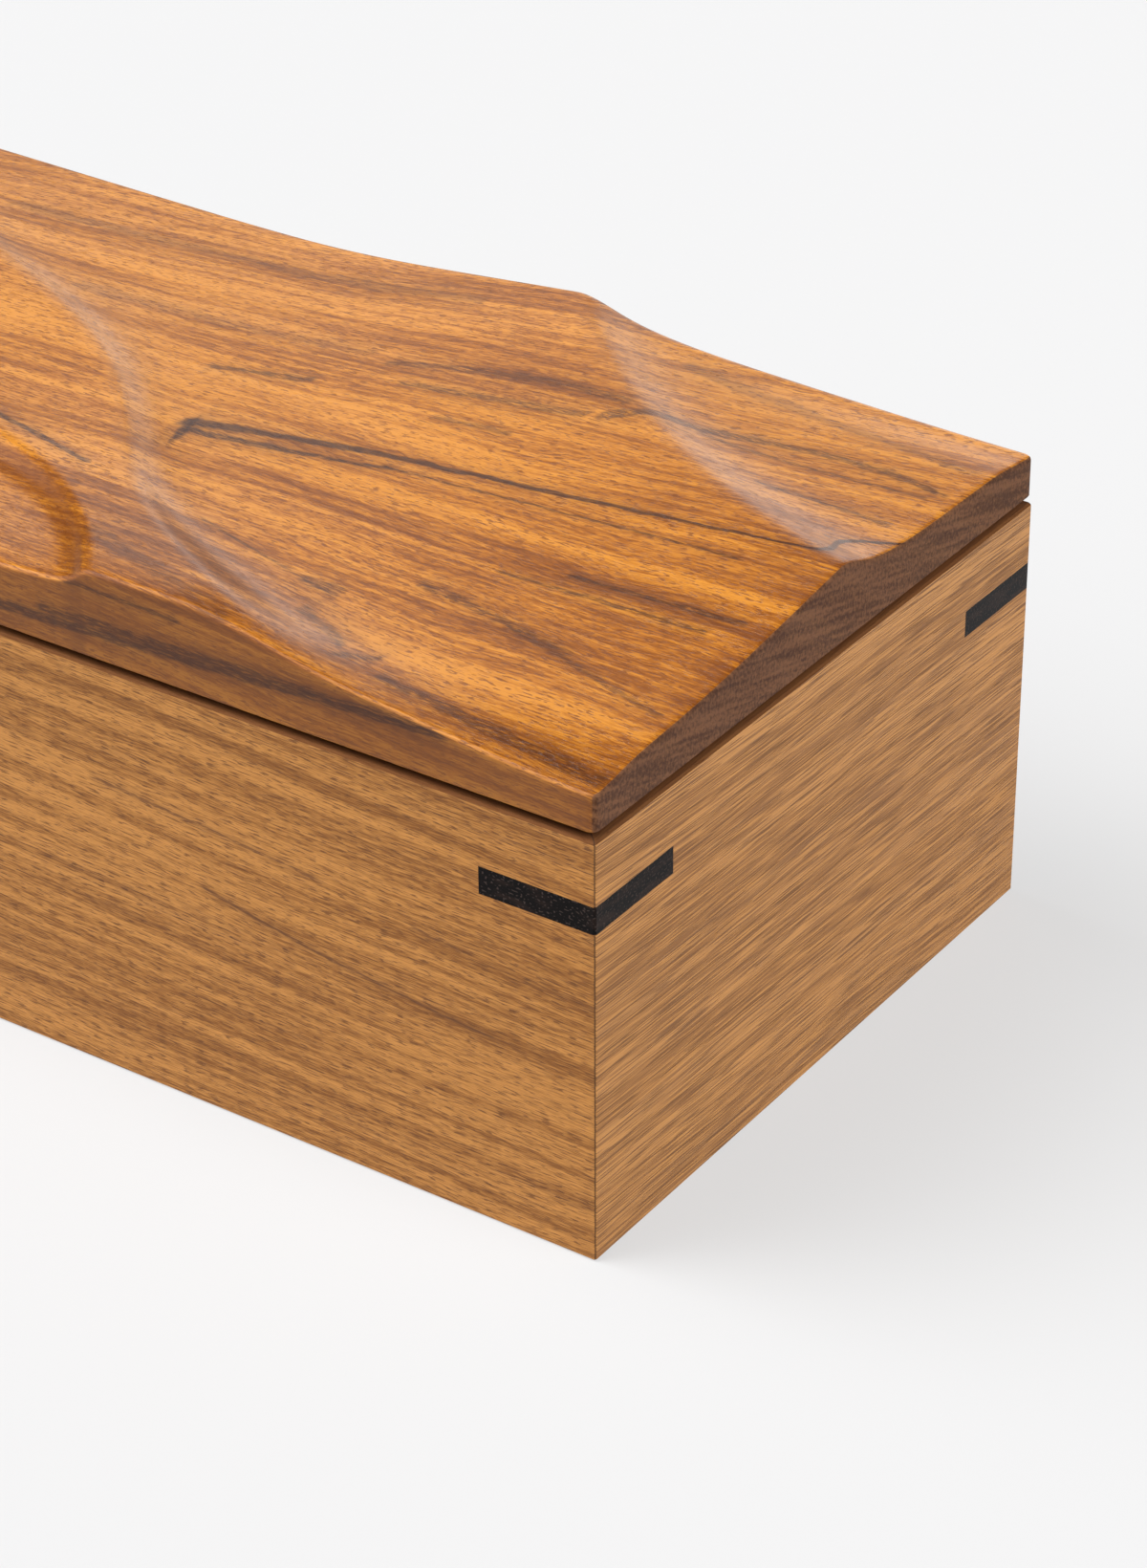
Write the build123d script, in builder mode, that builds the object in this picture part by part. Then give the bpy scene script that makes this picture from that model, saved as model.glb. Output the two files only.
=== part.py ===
"""Sliding lid box: four mitred walls with dark corner keys, a captive bottom, and a carved lid.

Frame: the origin is at the middle of the box's underside, +X runs along the length towards the
closed end, +Y towards the back and +Z up. Lengths are in millimetres.
"""

from build123d import *

import math
import os

# The box
box_length = 280.0
box_width = 120.0
wall_height = 70.3
wall_thickness = 11.0
edge_ease = 0.35  # the small chamfer on the edges that a hand meets

# The bottom and its groove
bottom_thickness = 5.0
bottom_rise = 5.0  # from the bench up to the panel's underside
bottom_groove_depth = 5.0
bottom_play = 0.5  # left at each edge for the wood to swell

# The lid's grooves and what runs in them
rail_height = 4.0  # the wall left above the groove
lid_groove_height = 4.0
lid_groove_depth = 5.0
slider_play_up = 0.4
slider_play_side = 0.4
field_play = 0.5  # between the lid's raised field and the walls

# The corner keys
key_thickness = 4.5
key_below_groove = 2.3  # the wood left between the lid's groove and the key
key_backing = 1.77  # the wood left between the key and the inside corner

# The lid's board
lid_gap = 1.2  # the shadow line between the walls and the lid
lid_corner_radius = 1.5
blank_thickness = 20.0  # the board before it is carved

# The screws under the lid
screw_columns = 3
screw_rows = 2
screw_inset_x = 32.0  # from the slider's ends
screw_inset_y = 22.0  # from the slider's edges
screw_length = 10.0
screw_tip_length = 2.0
screw_shank_radius = 1.5
screw_head_radius = 3.0
screw_slot_width = 0.8
screw_slot_depth = 0.7
screw_play = 0.05

# The carving. Places are measured on the lid from its front corner at the closed end: u along the
# length and v across the width. Heights are measured up from the lid board's underside.
valley_height = 7.5  # the floor of the long scoop
valley_reach = 40.0  # from the round crest down to that floor
climb_slope = 0.135
climb_blend = 7.0
far_rise_start = 120.0  # the floor lifts a little towards the open end
far_rise_slope = 0.013
far_rise_blend = 10.0

swirl_centre_u = -42.8  # the round crest that closes off the back corner's scoop
swirl_centre_v = 217.6
swirl_radius = 159.0
corner_floor = 8.25
corner_wall = 5.6
corner_wall_reach = 7.5
crest_blend = 2.2

wave_middle_u = 112.0  # the S-shaped crest, from the front edge towards the open end
wave_middle_v = 41.5
wave_slant = 0.4
wave_swing = 17.5
wave_length = 25.0
wave_wall = 2.7
wave_wall_reach = 4.5
wave_blend = 1.6
front_softening = 14.0  # near the front edge that crest is broader
front_wall_reach = 2.5
front_blend = 3.4

shoulder_height = 11.1  # the wood between the S-shaped crest and the front edge
shoulder_slope = 0.05
shoulder_lift = 4.1
shoulder_lift_reach = 22.0

bite_centre_u = 156.9  # the round scoop that bites into the front edge
bite_centre_v = -47.4
bite_radius = 83.2
bite_wall = 3.1
bite_wall_reach = 3.0
bite_slope = 0.06
bite_blend = 0.5

far_floor = 8.1  # the open end's scoop is the back corner's, turned half round
far_wall = 4.6
far_wall_reach = 8.0
far_blend = 1.6

near_dip = 1.75  # the corners at the closed end are sanded down
near_dip_u = 28.0
back_dip = 1.3
back_dip_u = 45.0
dip_v = 8.0

carving_step = 2.5  # the spacing of the carved sections, and of the points along each
carving_margin = 5.0  # how far they run past the board before it is trimmed

# Worked out from the sizes above
inner_length = box_length - 2 * wall_thickness
inner_width = box_width - 2 * wall_thickness
groove_floor = wall_height - rail_height - lid_groove_height
groove_end = inner_length / 2 + lid_groove_depth
groove_width = inner_width + 2 * lid_groove_depth
open_face = -box_length / 2
slider_top = groove_floor + lid_groove_height - slider_play_up
slider_end = groove_end - slider_play_side
slider_width = groove_width - 2 * slider_play_side
field_end = inner_length / 2 - field_play
field_width = inner_width - 2 * field_play
lid_underside = wall_height + lid_gap
key_top = groove_floor - key_below_groove
key_leg = 2 * wall_thickness - key_backing * math.sqrt(2)
key_side = key_leg * math.sqrt(2)
screw_spacing_x = (slider_end - open_face - 2 * screw_inset_x) / (screw_columns - 1)
screw_spacing_y = (slider_width - 2 * screw_inset_y) / (screw_rows - 1)
screw_cone_depth = screw_head_radius - screw_shank_radius
bore_radius = screw_shank_radius + screw_play

# The screws are driven up from the slider's underside, so this plane faces down
screw_plane = Plane(origin=((open_face + slider_end) / 2, 0, groove_floor), z_dir=(0, 0, -1))


def soft_ramp(distance, blend):
    """A ramp of slope one that starts at zero, rounded over about the blend."""
    steps = distance / blend
    return blend * (max(steps, 0.0) + math.log1p(math.exp(-abs(steps))))


def soft_lower(first, second, blend):
    """The lower of two heights, rounded where they cross."""
    nearness = max(blend - abs(first - second), 0.0)
    return min(first, second) - nearness * nearness / (4 * blend)


def fading_wall(floor, wall, reach, inside):
    """A scoop's height at a distance inside its rim: a wall that fades into a floor."""
    return floor + wall * math.exp(-inside / reach)


def behind_wave(u, v):
    """How far a place lies behind the S-shaped crest."""
    along = wave_middle_u - u
    turn = math.tanh(along / wave_length)
    crest_v = wave_middle_v - wave_slant * along - wave_swing * turn
    crest_slope = wave_slant + wave_swing / wave_length * (1 - turn * turn)
    return (v - crest_v) / math.hypot(1, crest_slope)


def back_scoops(u, v):
    """The long scoop and the back corner's, which meet in the round crest."""
    outside_swirl = math.hypot(u - swirl_centre_u, v - swirl_centre_v) - swirl_radius
    climb = climb_slope * soft_ramp(valley_reach - outside_swirl, climb_blend)
    far_rise = far_rise_slope * soft_ramp(u - far_rise_start, far_rise_blend)
    corner_scoop = fading_wall(corner_floor, corner_wall, corner_wall_reach, -outside_swirl)
    return soft_lower(valley_height + climb + far_rise, corner_scoop, crest_blend)


def front_shoulder(u, v):
    """The wood in front of the S-shaped crest, with the round bite in its front edge."""
    lift = shoulder_lift * math.exp(-((v / shoulder_lift_reach) ** 2))
    shoulder = shoulder_height + shoulder_slope * behind_wave(u, v) + lift
    inside_bite = bite_radius - math.hypot(u - bite_centre_u, v - bite_centre_v)
    depth = soft_ramp(inside_bite, bite_blend)
    return shoulder - bite_wall * (1 - math.exp(-depth / bite_wall_reach)) - bite_slope * depth


def open_end_scoop(u, v):
    """The back corner's scoop, turned half round."""
    rim_u = box_length - u - swirl_centre_u
    rim_v = box_width - v - swirl_centre_v
    return fading_wall(far_floor, far_wall, far_wall_reach, swirl_radius - math.hypot(rim_u, rim_v))


def corner_dips(u, v):
    """What is sanded off the two corners at the closed end."""
    near = near_dip * math.exp(-((u / near_dip_u) ** 2) - (v / dip_v) ** 2)
    back = back_dip * math.exp(-((u / back_dip_u) ** 2) - ((box_width - v) / dip_v) ** 2)
    return near + back


def carved_top(x, y):
    """The height of the carved face, in the box's own frame."""
    u = box_length / 2 - x
    v = y + box_width / 2
    front_share = math.exp(-v / front_softening)
    wave_reach = wave_wall_reach + front_wall_reach * front_share
    wave_side = fading_wall(back_scoops(u, v), wave_wall, wave_reach, behind_wave(u, v))
    top = soft_lower(front_shoulder(u, v), wave_side, wave_blend + front_blend * front_share)
    top = soft_lower(top, open_end_scoop(u, v), far_blend)
    return lid_underside + top - corner_dips(u, v)


def stations(size):
    """Even steps from beyond one side of the board to beyond the other."""
    reach = size / 2 + carving_margin
    count = math.ceil(2 * reach / carving_step)
    return [reach * (2 * step / count - 1) for step in range(count + 1)]


def write_piece(piece, name):
    """Labels a finished piece and writes it to a file of its own."""
    piece.part.label = name
    export_step(piece.part, f"parts/{name}.step")


os.makedirs("parts", exist_ok=True)

# The outline that the walls and the keys share, with its sharp corners eased
with BuildSketch() as outline:
    Rectangle(box_length, box_width)
    chamfer(outline.vertices(), length=edge_ease)

# The walls as one ring, before the mitres are sawn
with BuildPart() as ring:
    with BuildSketch():
        add(outline.sketch)
        Rectangle(inner_length, inner_width, mode=Mode.SUBTRACT)
    extrude(amount=wall_height)
    ring_ends = ring.faces().sort_by(Axis.Z)
    chamfer(ring_ends[0].edges() + ring_ends[-1].edges(), length=edge_ease)
    with BuildSketch(Plane.XY.offset(bottom_rise)):
        Rectangle(inner_length + 2 * bottom_groove_depth, inner_width + 2 * bottom_groove_depth)
    extrude(amount=bottom_thickness, mode=Mode.SUBTRACT)
    with BuildSketch(Plane.XY.offset(groove_floor)):
        with Locations((open_face, 0)):
            Rectangle(groove_end - open_face, groove_width, align=(Align.MIN, Align.CENTER))
    extrude(amount=lid_groove_height, mode=Mode.SUBTRACT)
    with BuildSketch(Plane.XY.offset(groove_floor)):
        with Locations((open_face, 0)):
            Rectangle(wall_thickness, inner_width, align=(Align.MIN, Align.CENTER))
    extrude(amount=wall_height - groove_floor, mode=Mode.SUBTRACT)
    with BuildSketch(Plane.XY.offset(key_top)):
        with GridLocations(box_length, box_width, 2, 2):
            Rectangle(key_side, key_side, rotation=45)
    extrude(amount=-key_thickness, mode=Mode.SUBTRACT)

# Each wall is the ring's share between two mitres, which run at 45 degrees from the corners
half_length = box_length / 2
half_width = box_width / 2
mitre_meet = half_length - half_width
wall_plans = {
    "front_side": [
        (-half_length, -half_width),
        (half_length, -half_width),
        (mitre_meet, 0),
        (-mitre_meet, 0),
    ],
    "back_side": [
        (half_length, half_width),
        (-half_length, half_width),
        (-mitre_meet, 0),
        (mitre_meet, 0),
    ],
    "closed_end": [(half_length, -half_width), (half_length, half_width), (mitre_meet, 0)],
    "open_end": [(-half_length, half_width), (-half_length, -half_width), (-mitre_meet, 0)],
}
for wall_name, wall_plan in wall_plans.items():
    with BuildPart() as wall:
        add(ring.part)
        with BuildSketch():
            Polygon(*wall_plan, align=None)
        extrude(amount=wall_height, mode=Mode.INTERSECT)
    write_piece(wall, wall_name)

# The bottom panel, loose in its groove
with BuildPart() as bottom_panel:
    with BuildSketch(Plane.XY.offset(bottom_rise)):
        Rectangle(
            inner_length + 2 * (bottom_groove_depth - bottom_play),
            inner_width + 2 * (bottom_groove_depth - bottom_play),
        )
    extrude(amount=bottom_thickness)
write_piece(bottom_panel, "bottom_panel")

# One key across each corner, flush with both faces
for end_name, end_x in (("closed", half_length), ("open", -half_length)):
    for side_name, side_y in (("front", -half_width), ("back", half_width)):
        with BuildPart() as corner_key:
            with BuildSketch(Plane.XY.offset(key_top)):
                with Locations((end_x, side_y)):
                    Rectangle(key_side, key_side, rotation=45)
                add(outline.sketch, mode=Mode.INTERSECT)
            extrude(amount=-key_thickness)
        write_piece(corner_key, f"corner_key_{side_name}_{end_name}")

# The lid's board, lofted through its carved sections and trimmed to its outline, with a raised
# field beneath that drops between the walls
with BuildPart() as lid_board:
    for station in stations(box_length):
        top_line = [(y, carved_top(station, y)) for y in stations(box_width)]
        front_foot = (top_line[0][0], lid_underside)
        back_foot = (top_line[-1][0], lid_underside)
        with BuildSketch(Plane.YZ.offset(station)):
            with BuildLine():
                Spline(*top_line)
                Polyline(top_line[-1], back_foot, front_foot, top_line[0])
            make_face()
    loft(ruled=True)
    with BuildSketch(Plane.XY.offset(lid_underside)):
        RectangleRounded(box_length, box_width, lid_corner_radius)
    extrude(amount=blank_thickness, mode=Mode.INTERSECT)
    chamfer(lid_board.faces().sort_by(Axis.Z)[0].edges(), length=edge_ease)
    with BuildSketch(Plane.XY.offset(slider_top)):
        with Locations((open_face, 0)):
            Rectangle(field_end - open_face, field_width, align=(Align.MIN, Align.CENTER))
    extrude(amount=lid_underside - slider_top)
    with Locations(screw_plane):
        with GridLocations(screw_spacing_x, screw_spacing_y, screw_columns, screw_rows):
            Hole(bore_radius, depth=screw_length)
write_piece(lid_board, "lid_board")

# The slider, screwed under the field, with a countersunk bore for each screw
with BuildPart() as lid_slider:
    with BuildSketch(Plane.XY.offset(groove_floor)):
        with Locations((open_face, 0)):
            Rectangle(slider_end - open_face, slider_width, align=(Align.MIN, Align.CENTER))
    extrude(amount=slider_top - groove_floor)
    with Locations(screw_plane):
        with GridLocations(screw_spacing_x, screw_spacing_y, screw_columns, screw_rows):
            CounterSinkHole(bore_radius, screw_head_radius + screw_play, counter_sink_angle=90)
write_piece(lid_slider, "lid_slider")

# One slotted countersunk screw, head at the origin and shank down
with BuildPart() as screw:
    with BuildSketch(Plane.XZ):
        Polygon(
            (0, 0),
            (screw_head_radius, 0),
            (screw_shank_radius, -screw_cone_depth),
            (screw_shank_radius, screw_tip_length - screw_length),
            (0, -screw_length),
            align=None,
        )
    revolve(axis=Axis.Z)
    Box(3 * screw_head_radius, screw_slot_width, 2 * screw_slot_depth, mode=Mode.SUBTRACT)

with BuildPart(screw_plane) as lid_screws:
    with GridLocations(screw_spacing_x, screw_spacing_y, screw_columns, screw_rows):
        add(screw.part)
write_piece(lid_screws, "lid_screws")
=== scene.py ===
"""Dresses the sliding lid box: the carved lid is built here, and every other piece gets its finish.

Metres, in the box's own frame: the origin is at the middle of the underside, +X runs along the length
towards the closed end, +Y towards the back and +Z up.
"""

import math
import types
import typing

import bpy
from mathutils import Color, Matrix, Vector


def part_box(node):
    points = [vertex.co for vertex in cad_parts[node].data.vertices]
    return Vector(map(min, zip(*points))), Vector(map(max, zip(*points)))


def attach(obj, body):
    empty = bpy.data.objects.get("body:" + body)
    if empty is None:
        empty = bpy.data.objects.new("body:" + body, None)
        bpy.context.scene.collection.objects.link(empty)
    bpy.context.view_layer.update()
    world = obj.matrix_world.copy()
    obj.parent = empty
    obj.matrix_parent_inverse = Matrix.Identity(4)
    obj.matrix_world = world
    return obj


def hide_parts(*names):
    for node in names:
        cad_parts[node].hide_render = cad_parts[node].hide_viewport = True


bl_info = {
    "name": "Sliding lid box",
    "version": (1, 0, 0),
    "blender": (4, 5, 0),
    "location": "3D View > Sidebar > Box",
    "description": "Carves the lid and finishes the woods, the keys and the screws of a sliding lid box",
    "category": "Object",
}

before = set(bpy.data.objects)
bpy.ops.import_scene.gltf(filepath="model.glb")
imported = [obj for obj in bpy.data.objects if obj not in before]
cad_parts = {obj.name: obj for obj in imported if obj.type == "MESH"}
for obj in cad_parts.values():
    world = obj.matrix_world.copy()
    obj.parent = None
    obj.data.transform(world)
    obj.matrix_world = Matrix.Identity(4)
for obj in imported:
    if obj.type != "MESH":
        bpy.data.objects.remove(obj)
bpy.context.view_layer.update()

MM = 0.001


# ---- settings


def in_words(name):
    """An attribute's name as a label."""
    return name.replace("_", " ").capitalize()


def length(description, millimetres):
    """A size property, given here in millimetres and kept in metres."""
    return bpy.props.FloatProperty(
        description=description, default=millimetres * MM, unit="LENGTH", precision=5
    )


def ratio(description, default):
    """A slope, a share or a roughness."""
    return bpy.props.FloatProperty(description=description, default=default, precision=3)


def colour(description, default):
    """A colour property, in scene linear values."""
    return bpy.props.FloatVectorProperty(
        description=description, default=default, subtype="COLOR", size=3, min=0.0, max=1.0
    )


class LidCarving(bpy.types.PropertyGroup):
    """The carved face. Places run from the lid's front corner at the closed end, u along and v across."""

    valley_height: length("Floor of the long scoop, above the lid's underside", 7.5)
    valley_reach: length("From the round crest down to the valley floor", 40)
    climb_slope: ratio("How steeply the valley climbs to the round crest", 0.135)
    climb_blend: length("Rounding at the foot of that climb", 7)
    far_rise_start: length("Where the valley floor starts to lift", 120)
    far_rise_slope: ratio("How much the valley floor lifts", 0.013)
    far_rise_blend: length("Rounding where that lift starts", 10)
    swirl_centre_u: length("Centre of the round crest, along the lid", -42.8)
    swirl_centre_v: length("Centre of the round crest, across the lid", 217.6)
    swirl_radius: length("Radius of the round crest in plan", 159)
    corner_floor: length("Floor of the back corner's scoop", 8.25)
    corner_wall: length("Height of that scoop's wall", 5.6)
    corner_wall_reach: length("How far that wall fades into its floor", 7.5)
    crest_blend: length("Rounding along the round crest", 2.2)
    wave_middle_u: length("Middle of the S-shaped crest, along the lid", 112)
    wave_middle_v: length("Middle of the S-shaped crest, across the lid", 42)
    wave_slant: ratio("Slant of the S-shaped crest", 0.4)
    wave_swing: length("How far the crest swings to each side", 17.5)
    wave_length: length("How slowly the crest swings", 25)
    front_shift: length("How far that crest keeps back from the front edge", 7)
    wave_wall: length("Height of the wall behind the S-shaped crest", 2.7)
    wave_wall_reach: length("How far that wall fades into the valley", 3.8)
    wave_blend: length("Rounding along the S-shaped crest", 1.6)
    front_softening: length("How far from the front edge that crest is broader", 14)
    front_wall_reach: length("What the front edge adds to the wall's reach", 3.6)
    front_blend: length("What the front edge adds to the crest's rounding", 3.4)
    shoulder_height: length("Wood in front of the S-shaped crest", 11.1)
    shoulder_slope: ratio("How the shoulder falls towards the front", 0.05)
    shoulder_lift: length("How far the shoulder lifts at the front edge", 4.25)
    shoulder_lift_reach: length("How far from the front edge it lifts", 22)
    lift_start: length("Where along the lid the shoulder starts to lift", 40)
    lift_full: length("Where along the lid the shoulder has its full lift", 74)
    bite_centre_u: length("Centre of the round scoop in the front edge, along", 156.9)
    bite_centre_v: length("Centre of the round scoop in the front edge, across", -47.4)
    bite_radius: length("Radius of that scoop's rim in plan", 83.2)
    bite_wall: length("Height of that scoop's wall", 2.8)
    bite_wall_reach: length("How far that wall fades into its floor", 1.4)
    bite_slope: ratio("Slope of that scoop's floor", 0.06)
    bite_blend: length("Rounding along that scoop's rim", 0.5)
    far_floor: length("Floor of the scoop at the open end", 8.1)
    far_wall: length("Height of that scoop's wall", 4.6)
    far_wall_reach: length("How far that wall fades into its floor", 8)
    far_blend: length("Rounding along that scoop's rim", 1.6)
    near_dip: length("What is sanded off the front corner at the closed end", 1.75)
    near_dip_reach: length("How far that sanding runs along the lid", 28)
    back_dip: length("What is sanded off the back corner at the closed end", 1.3)
    back_dip_reach: length("How far that sanding runs along the lid", 45)
    dip_width: length("How far both run across the lid", 8)


class LidBoard(bpy.types.PropertyGroup):
    """The board under the carving."""

    gap: length("Shadow line between the walls and the lid", 1.2)
    corner_radius: length("Rounding of the board's upright corners", 1.5)
    edge_round: length("Rounding of the carved face's outer edge", 0.7)
    edge_ease: length("Small chamfer round the underside", 0.35)
    field_play: length("Play between the raised field and the walls", 0.5)
    bore_radius: length("Radius of the screws' bores", 1.55)
    bore_depth: length("Depth of the bores from the slider's underside", 10)
    head_radius: length("Radius of the screws' heads", 3)
    mesh_step: length("Spacing of the carved face's points", 1)


class LidFinish(bpy.types.PropertyGroup):
    """Colours of the lid's figured wood."""

    pale: colour("The palest bands of the figure", (0.5, 0.195, 0.024))
    middle: colour("The wood between the palest and the darkest bands", (0.3, 0.096, 0.01))
    dark: colour("The darkest bands of the figure", (0.14, 0.04, 0.008))
    streak: colour("Dark veins along the grain", (0.036, 0.013, 0.008))
    end_pale: colour("The cut ends, where they are palest", (0.155, 0.067, 0.031))
    end_dark: colour("The cut ends, where they are darkest", (0.052, 0.02, 0.01))
    # painted shade: the darker brown that the long edges are toned towards, as they face away from the
    # light
    side: colour("What the long edges are toned towards", (0.13, 0.042, 0.01))
    roughness: ratio("Roughness of the oiled surface", 0.26)
    sheen: ratio("Strength of the surface's reflection", 0.28)
    band_width: length("Width of the growth bands", 1.6)
    band_length: length("How far the growth bands run", 42)
    fibre_width: length("Width of the fine grain", 0.32)
    fibre_length: length("How far the fine grain runs", 3)


class WallFinish(bpy.types.PropertyGroup):
    """Colours of the walls' straight-grained wood."""

    pale: colour("The palest lines of the grain", (0.5, 0.218, 0.049))
    dark: colour("The darker lines of the grain", (0.195, 0.068, 0.01))
    pore: colour("The dark pores along the grain", (0.115, 0.04, 0.011))
    glue: colour("The thin line along the mitres", (0.05, 0.022, 0.01))
    bleached: colour("What the paler boards are mixed towards", (0.62, 0.32, 0.115))
    # partly the end walls' own paler wood, and partly painted light that makes up for the weaker light
    # that falls on them
    paler_ends_and_painted_light: ratio("How far the end walls are mixed towards that", 0.15)
    paler_inside: ratio("How far the bottom and the slider are", 0.25)
    # painted shade: how far the top rims are darkened, standing in for the shadow in the gap under the lid
    rim_painted_shade: ratio("How much the walls' top rims are darkened", 0.92)
    roughness: ratio("Roughness of the oiled surface", 0.42)
    sheen: ratio("Strength of the surface's reflection", 0.25)
    band_width: length("Thickness of the growth bands", 2.4)
    fibre_width: length("Width of the fine grain", 0.24)


class KeyFinish(bpy.types.PropertyGroup):
    """Colours of the near-black keys."""

    body: colour("The near-black wood of the keys", (0.0032, 0.0022, 0.0022))
    fleck: colour("Brown flecks in the keys", (0.022, 0.012, 0.009))
    pore: colour("The small pores", (0.045, 0.032, 0.028))
    roughness: ratio("Roughness of the keys", 0.38)
    sheen: ratio("Strength of the surface's reflection", 0.07)


class ScrewFinish(bpy.types.PropertyGroup):
    """Colours of the brass screws under the lid."""

    bright: colour("The turned metal", (0.8, 0.56, 0.25))
    tarnish: colour("Where the metal has dulled", (0.42, 0.27, 0.11))
    roughness: ratio("Roughness of the turned metal", 0.28)
    sheen: ratio("Strength of the surface's reflection", 0.5)
    ring_width: length("Spacing of the turned rings", 0.12)


class Studio(bpy.types.PropertyGroup):
    """The floor, the light and the camera."""

    floor_colour: colour("The lit table's surface", (0.2, 0.2, 0.202))
    floor_glow: ratio("Light that the table gives from within", 0.54)
    roughness: ratio("Roughness of the table", 0.85)
    sheen: ratio("Strength of the table's reflection", 0.2)
    backdrop: ratio("Brightness of the backdrop behind the table", 0.93)
    light: ratio("Strength of all the soft lights together", 1.0)
    focal_length: bpy.props.FloatProperty(description="The camera's lens", default=105.33, unit="CAMERA")


class BoxSettings(bpy.types.PropertyGroup):
    """Everything that a user would change."""

    carving: bpy.props.PointerProperty(type=LidCarving)
    board: bpy.props.PointerProperty(type=LidBoard)
    lid_finish: bpy.props.PointerProperty(type=LidFinish)
    wall_finish: bpy.props.PointerProperty(type=WallFinish)
    key_finish: bpy.props.PointerProperty(type=KeyFinish)
    screw_finish: bpy.props.PointerProperty(type=ScrewFinish)
    studio: bpy.props.PointerProperty(type=Studio)


# ---- numbers inside node trees


class Number:
    """A number inside a node tree. Arithmetic on it adds Math nodes, so a formula reads as one."""

    def __init__(self, tree, socket):
        self.tree = tree
        self.socket = socket

    def math(self, operation, *others):
        """Adds a Math node that takes this number first."""
        node = self.tree.nodes.new("ShaderNodeMath")
        node.operation = operation
        for entry, value in zip(node.inputs, (self, *others)):
            feed(self.tree, value, entry)
        return Number(self.tree, node.outputs[0])

    def __add__(self, other):
        return self.math("ADD", other)

    __radd__ = __add__

    def __sub__(self, other):
        return self.math("SUBTRACT", other)

    def __rsub__(self, other):
        return self.math("MULTIPLY", -1.0) + other

    def __mul__(self, other):
        return self.math("MULTIPLY", other)

    __rmul__ = __mul__

    def __truediv__(self, other):
        return self.math("DIVIDE", other)

    def __neg__(self):
        return self.math("MULTIPLY", -1.0)


def feed(tree, value, entry):
    """Links a number or a socket to an input, or sets the input to a plain value."""
    if isinstance(value, Number):
        tree.links.new(value.socket, entry)
    elif isinstance(value, bpy.types.NodeSocket):
        tree.links.new(value, entry)
    else:
        entry.default_value = value


def add_node(tree, kind, inputs=None, **settings):
    """Adds a node, sets its properties and feeds its inputs by name or place."""
    node = tree.nodes.new(kind)
    for name, value in settings.items():
        setattr(node, name, value)
    for key, value in (inputs or {}).items():
        feed(tree, value, node.inputs[key])
    return node


def higher(first, second):
    return first.math("MAXIMUM", second)


def lower(first, second):
    return first.math("MINIMUM", second)


def size_of(number):
    return number.math("ABSOLUTE")


def distance_of(across, along):
    """The length of a step with these two parts."""
    return (across * across + along * along).math("SQRT")


def vector_of(tree, x, y, z):
    """Three numbers as one vector socket."""
    return add_node(tree, "ShaderNodeCombineXYZ", {0: x, 1: y, 2: z}).outputs[0]


def parts_of(tree, socket):
    """A vector socket as three numbers."""
    parts = add_node(tree, "ShaderNodeSeparateXYZ", {0: socket})
    return [Number(tree, out) for out in parts.outputs]


# ---- the carved face as a formula


def soft_ramp(distance, blend):
    """A ramp of slope one that starts at zero, rounded over about the blend."""
    steps = distance / blend
    tail = (-size_of(steps)).math("EXPONENT") + 1.0
    return blend * (higher(steps, 0.0) + tail.math("LOGARITHM", math.e))


def soft_lower(first, second, blend):
    """The lower of two heights, rounded where they cross."""
    nearness = higher(blend - size_of(first - second), 0.0)
    return lower(first, second) - nearness * nearness / (blend * 4.0)


def fading_wall(floor, wall, reach, inside):
    """A scoop's height at a distance inside its rim: a wall that fades into a floor."""
    return floor + wall * (-inside / reach).math("EXPONENT")


def bell(first_share, second_share=0.0):
    """One at the middle, falling away smoothly over one share or two."""
    return (-(first_share * first_share + second_share * second_share)).math("EXPONENT")


def behind_wave(cut, u, v):
    """How far a place lies behind the S-shaped crest."""
    along = cut.wave_middle_u - u
    turn = (along / cut.wave_length).math("TANH")
    front_turn = higher(turn, 0.0)
    crest_v = cut.wave_middle_v - cut.wave_slant * along - cut.wave_swing * turn
    crest_v = crest_v + cut.front_shift * front_turn * front_turn
    swing = cut.wave_swing - cut.front_shift * 2.0 * front_turn
    crest_slope = cut.wave_slant + swing / cut.wave_length * (1.0 - turn * turn)
    return (v - crest_v) / (crest_slope * crest_slope + 1.0).math("SQRT")


def back_scoops(cut, u, v):
    """The long scoop and the back corner's, which meet in the round crest."""
    outside = distance_of(u - cut.swirl_centre_u, v - cut.swirl_centre_v) - cut.swirl_radius
    climb = cut.climb_slope * soft_ramp(cut.valley_reach - outside, cut.climb_blend)
    far_rise = cut.far_rise_slope * soft_ramp(u - cut.far_rise_start, cut.far_rise_blend)
    corner = fading_wall(cut.corner_floor, cut.corner_wall, cut.corner_wall_reach, -outside)
    return soft_lower(cut.valley_height + climb + far_rise, corner, cut.crest_blend)


def front_shoulder(cut, u, v, behind):
    """The wood in front of the S-shaped crest, with the round bite in its front edge."""
    lifted = smooth_step(u, cut.lift_start, cut.lift_full)
    lift = cut.shoulder_lift * bell(v / cut.shoulder_lift_reach) * lifted
    shoulder = cut.shoulder_height + cut.shoulder_slope * behind + lift
    inside = cut.bite_radius - distance_of(u - cut.bite_centre_u, v - cut.bite_centre_v)
    depth = soft_ramp(inside, cut.bite_blend)
    wall = cut.bite_wall * (1.0 - (-depth / cut.bite_wall_reach).math("EXPONENT"))
    return shoulder - wall - cut.bite_slope * depth


def open_end_scoop(cut, board, u, v):
    """The back corner's scoop, turned half round."""
    rim_u = board.length - u - cut.swirl_centre_u
    rim_v = board.width - v - cut.swirl_centre_v
    inside = cut.swirl_radius - distance_of(rim_u, rim_v)
    return fading_wall(cut.far_floor, cut.far_wall, cut.far_wall_reach, inside)


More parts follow.
